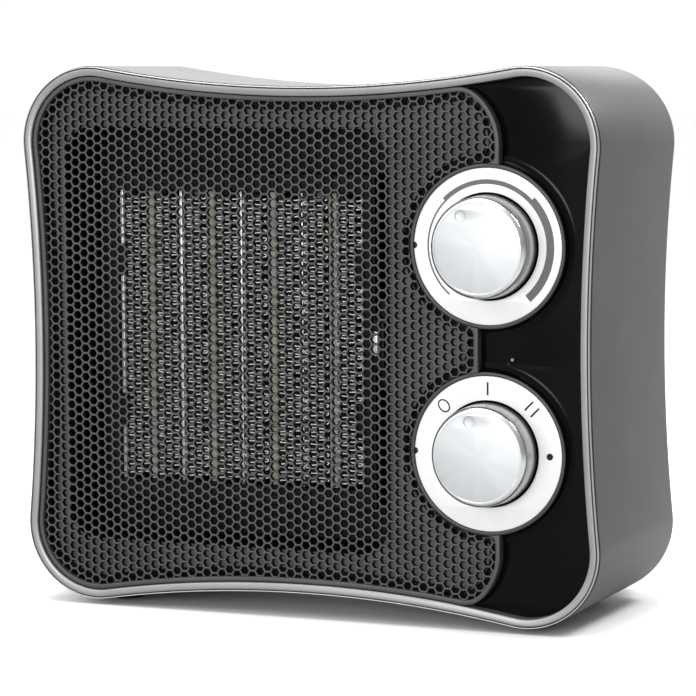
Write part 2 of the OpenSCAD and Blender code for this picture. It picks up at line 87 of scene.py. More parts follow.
# Millimetres. The top, the bottom and the sides are shallow arcs that dip inwards between round corners.
# Behind the front the sleeve's sides lean outwards by FLARE, and its top and bottom inwards by TAPER.
ARC_STEPS = 40
HALF_W = 120.5
HALF_H = 106
CORNER_R = 30
WAIST_TOP = 7.7
WAIST_SIDE = 3.7
FLARE = 2.5
TAPER = 1.5
STRAIGHT_D = 82
SLEEVE_D = 92
CX = HALF_W - CORNER_R
CZ = HALF_H - CORNER_R


def waist_radius(reach, dip):
    """Radius of the arc that dips this far and runs smoothly into corners whose centres lie reach away."""
    rise = CORNER_R - dip
    return (reach * reach + rise * rise - CORNER_R * CORNER_R) / (2 * dip)


TOP_R = waist_radius(CX, WAIST_TOP)
TOP_Z = HALF_H - WAIST_TOP + TOP_R
SIDE_R = waist_radius(CZ, WAIST_SIDE)
SIDE_X = HALF_W - WAIST_SIDE + SIDE_R
SIDE_TURN = math.degrees(math.atan2(-CZ, SIDE_X - CX))
TOP_TURN = math.degrees(math.atan2(TOP_Z - CZ, -CX))


def arc(cx, cz, r, a, b, steps):
    """Points on an arc from angle a towards angle b in degrees, without the last one."""
    out = []
    for i in range(steps):
        t = math.radians(a + (b - a) * i / steps)
        out.append((cx + r * math.cos(t), cz + r * math.sin(t)))
    return out


def outline(inset, steps=ARC_STEPS):
    """The waisted outline moved inwards, anticlockwise as seen from the front."""
    r, rt, rs = CORNER_R - inset, TOP_R + inset, SIDE_R + inset
    st, tt = SIDE_TURN, TOP_TURN
    return (
        arc(CX, CZ, r, st, tt, steps)
        + arc(0, TOP_Z, rt, tt + 180, 360 - tt, steps)
        + arc(-CX, CZ, r, 180 - tt, 180 - st, steps)
        + arc(-SIDE_X, 0, rs, -st, st, steps)
        + arc(-CX, -CZ, r, 180 + st, 180 + tt, steps)
        + arc(0, -TOP_Z, rt, tt, 180 - tt, steps)
        + arc(CX, -CZ, r, -tt, -st, steps)
        + arc(SIDE_X, 0, rs, 180 - st, 180 + st, steps)
    )


def body_ring(inset, depth):
    """The outline at a depth, with the lean of the sleeve's sides."""
    lean = min(1, max(0, depth / STRAIGHT_D))
    sx = 1 + FLARE * lean / HALF_W
    sz = 1 - TAPER * lean / HALF_H
    return [(x * sx, z * sz) for x, z in outline(inset)]


def quarter(inset, depth, di, dd, steps=10):
    """Quarter ellipse of (inset, depth) points."""
    out = []
    for i in range(steps + 1):
        a = math.radians(90 * i / steps)
        out.append((inset + di * (1 - math.cos(a)), depth + dd * math.sin(a)))
    return out


def circle(cx, cz, r, steps=72):
    return arc(cx, cz, r, 0, TURN, steps)


def rounded_rect(cx, cz, w, h, r, steps=10):
    hx, hz = w / 2 - r, h / 2 - r
    return (
        arc(cx + hx, cz + hz, r, 0, 90, steps + 1)
        + arc(cx - hx, cz + hz, r, 90, 180, steps + 1)
        + arc(cx - hx, cz - hz, r, 180, 270, steps + 1)
        + arc(cx + hx, cz - hz, r, 270, TURN, steps + 1)
    )


# ---------- Mesh building ----------

SAME_POINT = 0.002


class Piece:
    """Collects surfaces, given in millimetres, into one object."""

    def __init__(self, name):
        self.name = name
        self.verts = []
        self.faces = []
        self.slots = []

    def add(self, verts, faces, slot=0):
        """Adds points (x, depth, z) and faces, which use the material of that slot."""
        base = len(self.verts)
        self.verts += verts
        self.faces += [[base + i for i in f] for f in faces]
        self.slots += [slot] * len(faces)

    def sweep(self, ring_at, section, slot=0, closed=True):
        """Carries a section of (inset, depth) points round the rings that ring_at(inset, depth) gives."""
        rings = [ring_at(inset, depth) for inset, depth in section]
        n, m = len(rings[0]), len(rings)
        verts = [(p[0], section[i][1], p[1]) for i in range(m) for p in rings[i]]
        last = m if closed else m - 1
        faces = []
        for i in range(last):
            k = (i + 1) % m
            for j in range(n):
                j2 = (j + 1) % n
                faces.append([i * n + j, k * n + j, k * n + j2, i * n + j2])
        self.add(verts, faces, slot)

    def lathe(self, cx, cz, profile, slot=0, steps=96, start=0, stop=TURN, closed=False):
        """Turns a profile of (radius, depth) about an axis along the depth, whole or in part."""
        whole = stop - start >= TURN
        count = steps if whole else steps + 1
        verts = []
        for r, d in profile:
            for j in range(count):
                a = math.radians(start + (stop - start) * j / steps)
                verts.append((cx + r * math.cos(a), d, cz + r * math.sin(a)))
        m = len(profile)
        faces = []
        for i in range(m if closed else m - 1):
            k = (i + 1) % m
            for j in range(steps):
                j2 = (j + 1) % count
                faces.append([i * count + j, k * count + j, k * count + j2, i * count + j2])
        self.add(verts, faces, slot)

    def plate(self, loops, front, back, bevel=0.15, slot=0, fine=2):
        """A flat plate between two depths, with rounded edges. It fills the loops of (x, z) by turns, so a
        loop inside another is a hole."""
        curve = bpy.data.curves.new("tmp", "CURVE")
        curve.dimensions = "2D"
        curve.fill_mode = "BOTH"
        for loop in loops:
            line = curve.splines.new("POLY")
            line.points.add(len(loop) - 1)
            for point, (x, z) in zip(line.points, loop):
                point.co = (x, z, 0, 1)
            line.use_cyclic_u = True
        curve.extrude = max(0.001, (back - front) / 2 - bevel)
        curve.bevel_depth = bevel
        curve.bevel_resolution = fine
        curve.offset = -bevel
        holder = bpy.data.objects.new("tmp", curve)
        bpy.context.scene.collection.objects.link(holder)
        bpy.context.view_layer.update()
        dg = bpy.context.evaluated_depsgraph_get()
        mesh = bpy.data.meshes.new_from_object(holder.evaluated_get(dg))
        middle = (front + back) / 2
        verts = [(v.co.x, middle - v.co.z, v.co.y) for v in mesh.vertices]
        self.add(verts, [list(p.vertices) for p in mesh.polygons], slot)
        bpy.data.objects.remove(holder)
        bpy.data.curves.remove(curve)
        bpy.data.meshes.remove(mesh)

    def box(self, lo, hi, bevel=0.2, slot=0):
        """A block between two corners (x, depth, z), with small chamfers."""
        mesh = bmesh.new()
        bmesh.ops.create_cube(mesh, size=1)
        for v in mesh.verts:
            v.co = Vector([(lo[i] + hi[i]) / 2 + v.co[i] * (hi[i] - lo[i]) for i in range(3)])
        edges = list(mesh.edges)
        bmesh.ops.bevel(mesh, geom=edges, offset=bevel, segments=2, affect="EDGES", profile=0.5)
        mesh.verts.index_update()
        verts = [tuple(v.co) for v in mesh.verts]
        faces = [[v.index for v in f.verts] for f in mesh.faces]
        mesh.free()
        self.add(verts, faces, slot)

    def finish(self, materials, body="housing", angle=35, node=None, finish=None):
        """Makes the object, puts it on its body and lets it stand for CAD nodes."""
        mesh = bpy.data.meshes.new(self.name)
        mesh.from_pydata([place(*v) for v in self.verts], [], self.faces)
        for m in materials:
            mesh.materials.append(m)
        mesh.polygons.foreach_set("material_index", self.slots)
        work = bmesh.new()
        work.from_mesh(mesh)
        bmesh.ops.remove_doubles(work, verts=work.verts, dist=SAME_POINT * MM)
        bmesh.ops.recalc_face_normals(work, faces=work.faces)
        work.to_mesh(mesh)
        work.free()
        mesh.shade_smooth()
        mesh.set_sharp_from_angle(angle=math.radians(angle))
        thing = bpy.data.objects.new(self.name, mesh)
        bpy.context.scene.collection.objects.link(thing)
        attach(thing, body)
        if node:
            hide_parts(*node)
        return thing


# ---------- Materials ----------


def new_material(name, color, rough, metal=0.0, spec=0.5, coat=0.0, coat_rough=0.1):
    """A Principled material, with its nodes, its links and its shader."""
    m = bpy.data.materials.new(name)
    m.use_nodes = True
    shader = m.node_tree.nodes["Principled BSDF"]
    shader.inputs["Base Color"].default_value = (*color, 1)
    shader.inputs["Roughness"].default_value = rough
    shader.inputs["Metallic"].default_value = metal
    shader.inputs["Specular IOR Level"].default_value = spec
    shader.inputs["Coat Weight"].default_value = coat
    shader.inputs["Coat Roughness"].default_value = coat_rough
    return m, m.node_tree.nodes, m.node_tree.links, shader


def noise(nodes, links, scale, detail=3.0, stretch=None):
    """Noise in object space, in cycles per metre, optionally stretched along an axis."""
    coords = nodes.new("ShaderNodeTexCoord")
    tex = nodes.new("ShaderNodeTexNoise")
    tex.inputs["Scale"].default_value = scale
    tex.inputs["Detail"].default_value = detail
    if stretch:
        mapping = nodes.new("ShaderNodeMapping")
        mapping.inputs["Scale"].default_value = stretch
        links.new(coords.outputs["Object"], mapping.inputs["Vector"])
        links.new(mapping.outputs["Vector"], tex.inputs["Vector"])
    else:
        links.new(coords.outputs["Object"], tex.inputs["Vector"])
    return tex.outputs["Fac"]


def ramp(nodes, links, source, low, high, a, b):
    """Turns a value between a and b into a colour between low and high."""
    r = nodes.new("ShaderNodeValToRGB")
    r.color_ramp.elements[0].position = a
    r.color_ramp.elements[1].position = b
    r.color_ramp.elements[0].color = (*low, 1)
    r.color_ramp.elements[1].color = (*high, 1)
    links.new(source, r.inputs["Fac"])
    return r.outputs["Color"]


def spread(nodes, links, source, low, high):
    """Turns a value of 0 to 1 into one between low and high."""
    r = nodes.new("ShaderNodeMapRange")
    r.inputs["To Min"].default_value = low
    r.inputs["To Max"].default_value = high
    links.new(source, r.inputs["Value"])
    return r.outputs["Result"]


def bump(nodes, links, source, shader, strength, distance):
    """Bump from a value, with the height in metres."""
    b = nodes.new("ShaderNodeBump")
    b.inputs["Strength"].default_value = strength
    b.inputs["Distance"].default_value = distance
    links.new(source, b.inputs["Height"])
    links.new(b.outputs["Normal"], shader.inputs["Normal"])


def surface(name, dark, light, rough, metal=0.0, scale=60.0, grain=1500.0, grain_depth=0.00002,
            strength=0.15, spec=0.5, coat=0.0, coat_rough=0.1, stretch=None):
    """A finish with slow colour variation, uneven gloss and a fine grain."""
    m, nodes, links, shader = new_material(name, light, rough[0], metal, spec, coat, coat_rough)
    slow = noise(nodes, links, scale)
    links.new(ramp(nodes, links, slow, dark, light, 0.3, 0.7), shader.inputs["Base Color"])
    fine = noise(nodes, links, grain, 2.0, stretch)
    links.new(spread(nodes, links, fine, rough[0], rough[1]), shader.inputs["Roughness"])
    bump(nodes, links, fine, shader, strength, grain_depth)
    return m


paint = surface("gunmetal_paint", (0.094, 0.091, 0.088), (0.110, 0.106, 0.103), (0.36, 0.44), 0.55,
                scale=25, grain=4500, strength=0.12)
trim_finish = surface("satin_trim", (0.235, 0.233, 0.231), (0.265, 0.263, 0.261), (0.34, 0.42), 0.75,
                      scale=40, grain=3000, strength=0.08)
# A lighter copy of the trim's metal for its crest: a painted highlight.
trim_crest_highlight = surface("trim_crest_painted_highlight", (0.40, 0.40, 0.40), (0.46, 0.46, 0.46), (0.28, 0.36), 0.8,
                    scale=40, grain=3000, strength=0.05)
gloss = surface("gloss_black", (0.0015, 0.0015, 0.0015), (0.0025, 0.0025, 0.0025), (0.12, 0.18), 0.0,
                scale=50, grain=900, strength=0.02, spec=0.06)
mesh_black = surface("grille_black", (0.03, 0.031, 0.032), (0.043, 0.043, 0.043), (0.42, 0.55), 0.0,
                     scale=90, grain=2500, strength=0.2)
# Near-black used as painted shade: in the seam against the sleeve, the trim's groove, the mesh's hole walls and
# the plate seen through the mesh's outer cells.
painted_shade_black = surface("painted_shade_black", (0.006, 0.006, 0.006), (0.012, 0.012, 0.012), (0.5, 0.6), 0.0,
                     scale=90, grain=2500, strength=0.2, spec=0.2)
ridge_black = surface("ridge_black", (0.031, 0.031, 0.032), (0.043, 0.043, 0.043), (0.4, 0.5), 0.0,
                      scale=70, grain=3500, strength=0.2)
ring_black = surface("ring_black", (0.016, 0.016, 0.016), (0.024, 0.024, 0.024), (0.35, 0.45), 0.0,
                     scale=70, grain=3500, strength=0.1)
pad_black = surface("backing_black", (0.06, 0.06, 0.062), (0.08, 0.079, 0.08), (0.5, 0.65), 0.0,
                    scale=120, grain=2500, strength=0.25)
cover_finish = surface("rear_plastic", (0.028, 0.028, 0.03), (0.038, 0.038, 0.04), (0.42, 0.56), 0.0,
                       scale=60, grain=2200, strength=0.3)
rubber = surface("soft_rubber", (0.016, 0.016, 0.016), (0.026, 0.026, 0.026), (0.6, 0.75), 0.0,
                 scale=150, grain=2500, strength=0.3)
dial_finish = surface("dial_silver", (0.62, 0.62, 0.62), (0.67, 0.67, 0.67), (0.4, 0.5), 0.25,
                      scale=80, grain=5000, strength=0.05)
print_ink = surface("dial_print", (0.075, 0.075, 0.075), (0.10, 0.10, 0.10), (0.5, 0.6), 0.0,
                    scale=300, grain=6000, strength=0.1)
deep_ink = surface("deep_print", (0.01, 0.01, 0.01), (0.018, 0.018, 0.018), (0.5, 0.6), 0.0,
                   scale=300, grain=6000, strength=0.1, spec=0.1)
lens = surface("lamp_lens", (0.22, 0.18, 0.16), (0.34, 0.29, 0.26), (0.1, 0.15), 0.0,
               scale=500, grain=1500, strength=0.05, coat=0.5)
steel = surface("zinc_steel", (0.45, 0.45, 0.46), (0.60, 0.60, 0.61), (0.28, 0.42), 1.0,
                scale=200, grain=2500, strength=0.15)
bakelite = surface("switch_plastic", (0.33, 0.22, 0.12), (0.42, 0.29, 0.17), (0.45, 0.6), 0.0,
                   scale=300, grain=2500, strength=0.2)
hot_black = surface("heat_plastic", (0.003, 0.003, 0.003), (0.006, 0.006, 0.006), (0.5, 0.65), 0.0,
                    scale=100, grain=2500, strength=0.25, spec=0.25)
fan_grey = surface("fan_plastic", (0.04, 0.04, 0.045), (0.06, 0.06, 0.065), (0.4, 0.55), 0.0,
                   scale=80, grain=2500, strength=0.2)
rotor_steel = surface("rotor_metal", (0.40, 0.40, 0.41), (0.52, 0.52, 0.53), (0.3, 0.45), 1.0,
                      scale=100, grain=2500, strength=0.2, stretch=(1, 6, 1))
bronze = surface("sinter_bronze", (0.40, 0.26, 0.11), (0.55, 0.37, 0.18), (0.35, 0.5), 1.0,
                 scale=300, grain=3500, strength=0.4)
polished = surface("polished_contact", (0.9, 0.9, 0.9), (0.97, 0.97, 0.97), (0.3, 0.4), 0.3,
                   scale=200, grain=2500, strength=0.05)
# A bright copy of the fins' aluminium for their front edges, partly bare metal and partly painted highlight.
fin_edge_painted_highlight = surface("sheared_edge_painted_highlight", (0.9, 0.9, 0.9), (0.98, 0.98, 0.98), (0.35, 0.5), 0.2,
                   scale=500, grain=3000, strength=0.2)
# A darker copy of the fins' aluminium for their sheets: painted shade.
fin_sheet_painted_shade = surface("fin_sheet_painted_shade", (0.22, 0.22, 0.22), (0.38, 0.38, 0.38), (0.35, 0.5), 0.8,
                         scale=400, grain=3000, strength=0.3)
aluminium = surface("bright_aluminium", (0.82, 0.82, 0.82), (0.95, 0.95, 0.95), (0.3, 0.45), 0.55,
                    scale=400, grain=3000, strength=0.4)


# Roughly the bands that a wave texture of scale 1 has in one metre.
WAVE_PER_UNIT = 3.14


def layered(name, dark, light, rough, metal, per_metre):
    """Thin layers stacked along the depth, such as a stator's sheets or a winding."""
    m, nodes, links, shader = new_material(name, light, rough, metal)
    coords = nodes.new("ShaderNodeTexCoord")
    wave = nodes.new("ShaderNodeTexWave")
    wave.bands_direction = "Y"
    wave.inputs["Scale"].default_value = per_metre / WAVE_PER_UNIT
    wave.inputs["Distortion"].default_value = 0.4
    links.new(coords.outputs["Object"], wave.inputs["Vector"])
    tone = ramp(nodes, links, wave.outputs["Fac"], dark, light, 0.1, 0.7)
    links.new(tone, shader.inputs["Base Color"])
    bump(nodes, links, wave.outputs["Fac"], shader, 0.6, 0.0002)
    return m


lamination = layered("lamination", (0.16, 0.17, 0.18), (0.34, 0.35, 0.37), 0.45, 0.9, 1600)
copper = layered("copper_winding", (0.28, 0.10, 0.04), (0.75, 0.36, 0.17), 0.35, 0.9, 2500)

ceramic, c_nodes, c_links, c_shader = new_material("ptc_ceramic", (0.5, 0.42, 0.33), 0.7)
stone = noise(c_nodes, c_links, 90, 4)
stone_tone = ramp(c_nodes, c_links, stone, (0.38, 0.33, 0.26), (0.62, 0.58, 0.51), 0.3, 0.7)
c_links.new(stone_tone, c_shader.inputs["Base Color"])
grit = noise(c_nodes, c_links, 2500, 3)
c_links.new(spread(c_nodes, c_links, grit, 0.6, 0.85), c_shader.inputs["Roughness"])
bump(c_nodes, c_links, grit, c_shader, 0.4, 0.00005)


def spun_face_painted_sheen(name, dark, light, centre):
    """Lathe-turned metal face round a centre (x, z), with fine rings and soft lighter and darker sectors painted
    round the axis as a sheen.
    """
    m, nodes, links, shader = new_material(name, light, 0.4, 1.0)
    coords = nodes.new("ShaderNodeTexCoord")
    middle = place(centre[0], 0, centre[1])
    moved = nodes.new("ShaderNodeVectorMath")
    moved.operation = "SUBTRACT"
    moved.inputs[1].default_value = middle
    links.new(coords.outputs["Object"], moved.inputs[0])
    parts = nodes.new("ShaderNodeSeparateXYZ")
    links.new(moved.outputs["Vector"], parts.inputs["Vector"])
    flat = nodes.new("ShaderNodeCombineXYZ")
    links.new(parts.outputs["X"], flat.inputs["X"])
    links.new(parts.outputs["Z"], flat.inputs["Y"])
    unit = nodes.new("ShaderNodeVectorMath")
    unit.operation = "NORMALIZE"
    links.new(flat.outputs["Vector"], unit.inputs[0])
    # The sectors paint a sheen into the base colour: lighter and darker wedges round the axis stand in for the
    # light that spun metal reflects.
    sectors = nodes.new("ShaderNodeTexNoise")
    sectors.inputs["Scale"].default_value = 1.7
    sectors.inputs["Detail"].default_value = 3.0
    links.new(unit.outputs["Vector"], sectors.inputs["Vector"])
    tone = ramp(nodes, links, sectors.outputs["Fac"], dark, light, 0.38, 0.62)
    links.new(tone, shader.inputs["Base Color"])
    links.new(spread(nodes, links, sectors.outputs["Fac"], 0.46, 0.58), shader.inputs["Roughness"])
    away = nodes.new("ShaderNodeVectorMath")
    away.operation = "LENGTH"
    links.new(flat.outputs["Vector"], away.inputs[0])
    rings = nodes.new("ShaderNodeTexNoise")
    rings.noise_dimensions = "1D"
    rings.inputs["Scale"].default_value = 5000
    links.new(away.outputs["Value"], rings.inputs["W"])
    bump(nodes, links, rings.outputs["Fac"], shader, 0.02, 0.00001)
    return m


SPUN_DARK = (0.455, 0.468, 0.477)
SPUN_LIGHT = (0.50, 0.512, 0.52)
knob_faces = [spun_face_painted_sheen("spun_face_painted_sheen_" + str(i + 1), SPUN_DARK, SPUN_LIGHT, DIALS[i]) for i in (0, 1)]
knob_side = surface("turned_side", (0.50, 0.51, 0.52), (0.57, 0.58, 0.59), (0.28, 0.36), 1.0,
                    scale=150, grain=4000, strength=0.05, stretch=(1, 5, 1))
knob_bevel = surface("polished_bevel", (0.62, 0.63, 0.64), (0.70, 0.71, 0.72), (0.2, 0.28), 1.0,
                     scale=150, grain=4000, strength=0.03)

# ---------- Sleeve ----------

EDGE_D = 1.8
WALL = 2.5
TURN_IN = 8
front_edge = [(0, EDGE_D + 0.35), (0.05, EDGE_D + 0.16), (0.18, EDGE_D + 0.04), (0.35, EDGE_D)]
inside = quarter(WALL, STRAIGHT_D, TURN_IN - WALL, SLEEVE_D - STRAIGHT_D - WALL)
outside = quarter(0, STRAIGHT_D, TURN_IN, SLEEVE_D - STRAIGHT_D)
sleeve = Piece("sleeve")
sleeve.sweep(body_ring, front_edge + [(WALL, EDGE_D)] + inside + outside[::-1])
sleeve.finish([paint], node=["main_shell"], finish="sleeve_paint", angle=50)

# ---------- Trim ----------

# From the outside inwards: a joint against the sleeve and a fine groove, both darkened with painted shade, a crest
# with a painted highlight from a lighter copy of the trim's metal, and the wide face, which has a flange behind
# it.
TRIM_W = 3.9
FLANGE_IN = 2.8
FLANGE_D = 9
FOLD_IN, FOLD_D = 0.9, 0.95
CREST_END = (0.84, 0.5)
FACE_START = (1.12, 0.5)
joint_line = [(FOLD_IN, 1.75), (0.06, 1.75), (0.06, 1.5), (0.36, 0.9), (FOLD_IN, 0.9)]
crest = [(FOLD_IN, FOLD_D), (0.3, FOLD_D), (0.3, 0.5), (0.34, 0.24), (0.43, 0.07), (0.55, 0), (0.68, 0.05)]
crest += [(0.79, 0.22), CREST_END]
groove = [CREST_END, (0.88, 0.62), (1.08, 0.62), FACE_START]
wide_face = [FACE_START, (1.15, 0.2), (1.26, 0.06), (1.45, 0.02), (2.1, 0.05), (2.8, 0.14), (3.4, 0.26)]
wide_face += [(3.65, 0.36), (3.83, 0.55), (TRIM_W, 0.85)]
flange = [(TRIM_W, FLANGE_D), (FLANGE_IN, FLANGE_D), (FLANGE_IN, FOLD_D), (FOLD_IN, FOLD_D)]
trim = Piece("trim_ring")
trim.sweep(body_ring, joint_line, slot=1)
trim.sweep(body_ring, crest, slot=2, closed=False)
trim.sweep(body_ring, groove, slot=1, closed=False)
trim.sweep(body_ring, wide_face + flange, closed=False)
trim.finish([trim_finish, painted_shade_black, trim_crest_highlight], node=["front_trim"], finish="trim_metal", angle=50)

# ---------- Outline of the grille ----------

# The grille follows the outline on the left. On the right it ends in a round lobe above and below, steps in
# to a neck between the dials, and runs round each dial's ring.
PANEL_INSET = 4.1
LOBE_X = 56.6
LOBE_Z = 77.4
LOBE_R = 24.1
NECK_X = 72.1
RING_R = 31.2
JOIN_R = 11
RIDGE_W = 1.9
EDGE_X = LOBE_X + LOBE_R


def waist_join(side):
    """Round corner between the waist and a lobe, above (+1) or below (-1): its centre, and the angles of its
    ends, seen from the waist's centre and from the lobe's."""
    lobe_z = DIAL_MID + side * LOBE_Z
    ra = TOP_R + PANEL_INSET + JOIN_R
    rb = LOBE_R - JOIN_R
    dx, dz = LOBE_X, lobe_z - side * TOP_Z
    dist = math.hypot(dx, dz)
    along = (ra * ra - rb * rb + dist * dist) / (2 * dist)
    off = math.sqrt(ra * ra - along * along)
    ux, uz = dx / dist, dz / dist
    turn = 1 if -uz > 0 else -1
    fx = ux * along - turn * uz * off
    fz = side * TOP_Z + uz * along + turn * ux * off
    waist = math.degrees(math.atan2(fz - side * TOP_Z, fx))
    lobe = math.degrees(math.atan2(fz - lobe_z, fx - LOBE_X))
    return fx, fz, waist, lobe


def grille_run(inset):
    """The grille's free edge, from the upper lobe round the left side to the lower lobe."""
    fx, fz, waist, lobe = waist_join(1)
    gx, gz, waist2, lobe2 = waist_join(-1)
    i = PANEL_INSET + inset
    r, rt, rs = CORNER_R - i, TOP_R + i, SIDE_R + i
    st, tt = SIDE_TURN, TOP_TURN
    out = arc(LOBE_X, DIAL_MID + LOBE_Z, LOBE_R - inset, 0, lobe, 16)
    out += arc(fx, fz, JOIN_R - inset, lobe, waist + 180, 10)
    out += arc(0, TOP_Z, rt, waist, -tt, 60)
    out += arc(-CX, CZ, r, 180 - tt, 180 - st, 30)
    out += arc(-SIDE_X, 0, rs, -st, st, 50)
    out += arc(-CX, -CZ, r, 180 + st, 180 + tt, 30)
    out += arc(0, -TOP_Z, rt, tt, waist2, 60)
    out += arc(gx, gz, JOIN_R - inset, waist2 - 180, lobe2, 10)
    out += arc(LOBE_X, DIAL_MID - LOBE_Z, LOBE_R - inset, lobe2, 0, 16)
    out.append((EDGE_X - inset, DIAL_MID - LOBE_Z))
    return out


UP_Z, LOW_Z = DIALS[0][1], DIALS[1][1]
TUCK_R = RING_R - 0.3


def ring_angle(x, r):
    """Angle from the X axis at which a circle of radius r about a dial reaches x."""
    return math.degrees(math.acos((x - DIAL_X) / r))


def ring_fillet(edge, radius, dial_z, side):
    """Round corner between the line x = edge and a dial's ring, above (+1) or below (-1) that dial: its
    centre, and the angle at which it meets the ring."""
    fx = edge - radius
    fz = dial_z + side * math.sqrt((RING_R + radius) ** 2 - (fx - DIAL_X) ** 2)
    return fx, fz, math.degrees(math.atan2(dial_z - fz, DIAL_X - fx))


# ---------- Raised edge of the grille ----------

RIDGE_FRONT = 1.0
PANEL_D = 5.0
EDGE_FILLET = 3.0
NECK_FILLET = 4.2
RIDGE_BACK = PANEL_D + 0.3
RIDGE_ROUND = 0.55
ridge = Piece("grille_edge")

# The long run, from the upper dial round the left side to the lower dial.
inner = EDGE_X - RIDGE_W
low_x, low_z, low_end = ring_fillet(inner, EDGE_FILLET, LOW_Z, -1)
up_x, up_z, up_end = ring_fillet(inner, EDGE_FILLET, UP_Z, 1)
outer_turn = ring_angle(EDGE_X, TUCK_R)
loop = grille_run(0)
loop += arc(DIAL_X, LOW_Z, TUCK_R, -outer_turn, low_end - 180, 6)
loop += arc(low_x, low_z, EDGE_FILLET, low_end, 0, 8)
loop += grille_run(RIDGE_W)[::-1]
loop += arc(up_x, up_z, EDGE_FILLET, 0, up_end, 8)
loop += arc(DIAL_X, UP_Z, TUCK_R, up_end + 180, outer_turn, 6)
loop.append((EDGE_X, UP_Z + TUCK_R * math.sin(math.radians(outer_turn))))
ridge.plate([loop], RIDGE_FRONT, RIDGE_BACK, RIDGE_ROUND, fine=4)

# The short run between the dials.
inner = NECK_X - RIDGE_W
up_x, up_z, up_end = ring_fillet(inner, NECK_FILLET, UP_Z, -1)
low_x, low_z, low_end = ring_fillet(inner, NECK_FILLET, LOW_Z, 1)
neck_turn = ring_angle(NECK_X, TUCK_R)
loop = arc(DIAL_X, UP_Z, TUCK_R, -neck_turn, up_end - 180, 6)
loop += arc(up_x, up_z, NECK_FILLET, up_end, 0, 10)
loop += arc(low_x, low_z, NECK_FILLET, 0, low_end, 10)
loop += arc(DIAL_X, LOW_Z, TUCK_R, low_end + 180, neck_turn, 6)
loop.append((NECK_X, LOW_Z + TUCK_R * math.sin(math.radians(neck_turn))))
ridge.plate([loop], RIDGE_FRONT, RIDGE_BACK, RIDGE_ROUND, fine=4)
ridge.finish([ridge_black], finish="grille_black", angle=40)

# ---------- Hexagon mesh ----------

PITCH = 3.78
WEB = 0.85
COLUMN = PITCH * math.sqrt(3) / 2
HOLE = (PITCH - WEB) / 2
MESH_FRONT = 2.12
MESH_BACK = 4.2
MESH_MARGIN = 0.12
CELL_REACH = 1.2


def room(x, z):
    """Distance from the grille's edge, positive inside."""
    limit = min(
        math.hypot(x, abs(z) - TOP_Z) - TOP_R - PANEL_INSET,
        math.hypot(abs(x) - SIDE_X, z) - SIDE_R - PANEL_INSET,
        math.hypot(x - DIAL_X, z - UP_Z) - RING_R,
        math.hypot(x - DIAL_X, z - LOW_Z) - RING_R,
    )
    if abs(x) > CX and abs(z) > CZ:
        limit = min(limit, CORNER_R - PANEL_INSET - math.hypot(abs(x) - CX, abs(z) - CZ))
    up = abs(z - DIAL_MID)
    if up > LOBE_Z:
        if x > LOBE_X:
            limit = min(limit, LOBE_R - math.hypot(x - LOBE_X, up - LOBE_Z))
    elif up > UP_Z - DIAL_MID:
        limit = min(limit, EDGE_X - x)
    else:
        limit = min(limit, NECK_X - x)
    return limit


def hold_in(x, z, margin):
    """Moves a point that lies too near the grille's edge straight back inside."""
    step = 0.02
    for _ in range(6):
        here = room(x, z)
        if here >= margin - 0.005:
            break
        gx = (room(x + step, z) - room(x - step, z)) / (2 * step)
        gz = (room(x, z + step) - room(x, z - step)) / (2 * step)
        size = max(0.2, math.hypot(gx, gz))
        x += (margin - here) * gx / (size * size)
        z += (margin - here) * gz / (size * size)
    return x, z


def hexagon(x, z, apothem):
    return arc(x, z, apothem / math.cos(math.radians(30)), 0, TURN, 6)


mesh_sheet = Piece("grille_mesh")
cells = []
columns = int(HALF_W / COLUMN) + 1
rows = int(HALF_H / PITCH) + 1
for i in range(-columns, columns + 1):
    for j in range(-rows, rows + 1):
        x = i * COLUMN
        z = (j + (0.5 if i % 2 else 0)) * PITCH
        if room(x, z) > -CELL_REACH:
            cells.append((x, z))

# One cell from its front edge, over the rounded rim and down the hole, to its back edge. The hole's walls take
# the near-black material as painted shade in the holes.
LEVELS = [
    (PITCH / 2, MESH_FRONT),
    (HOLE + 0.17, MESH_FRONT + 0.08),
    (HOLE + 0.03, MESH_FRONT + 0.3),
    (HOLE, MESH_BACK),
    (PITCH / 2, MESH_BACK),
]
RIM_LEVELS = 2
for x, z in cells:
    verts = []
    for apothem, depth in LEVELS:
        for px, pz in hexagon(x, z, apothem):
            qx, qz = hold_in(px, pz, MESH_MARGIN)
            verts.append((qx, depth, qz))
    rim, hole = [], []
    for k in range(len(LEVELS) - 1):
        for n in range(6):
            near = 6 * k
            far = near + 6
            n2 = (n + 1) % 6
            face = [near + n, far + n, far + n2, near + n2]
            if k < RIM_LEVELS:
                rim.append(face)
            else:
                hole.append(face)
    mesh_sheet.add(verts, rim + hole)
    mesh_sheet.slots[-len(hole):] = [1] * len(hole)
mesh_sheet.finish([mesh_black, painted_shade_black], node=["grille"], finish="grille_black", angle=50)

# ---------- Front panel ----------

panel = Piece("panel")
WINDOW_W, WINDOW_H, WINDOW_R = 138, 164, 12
SHAFT_HOLE_R = 5.1
GROOVE_W = 5.3
PAD_D = 4.7
FLOOR_D = 6.9
PLATE_BACK = 7.5
LAMP = (84.4, -4.3)
FULL = outline(PANEL_INSET + 0.05)
window = rounded_rect(FRAME_X, 0, WINDOW_W, WINDOW_H, WINDOW_R)
lamp_hole = circle(LAMP[0], LAMP[1], 1.6, 24)

# The plate behind it all, with the window in front of the element and the holes for the shafts and the lamp.
shaft_holes = [circle(x, z, SHAFT_HOLE_R, 32) for x, z in DIALS]
# Near-black painted shade on this plate, where it shows as the recess through the mesh's outer cells.
panel.plate([FULL, window, lamp_hole] + shaft_holes, FLOOR_D, PLATE_BACK, 0.1, slot=3)

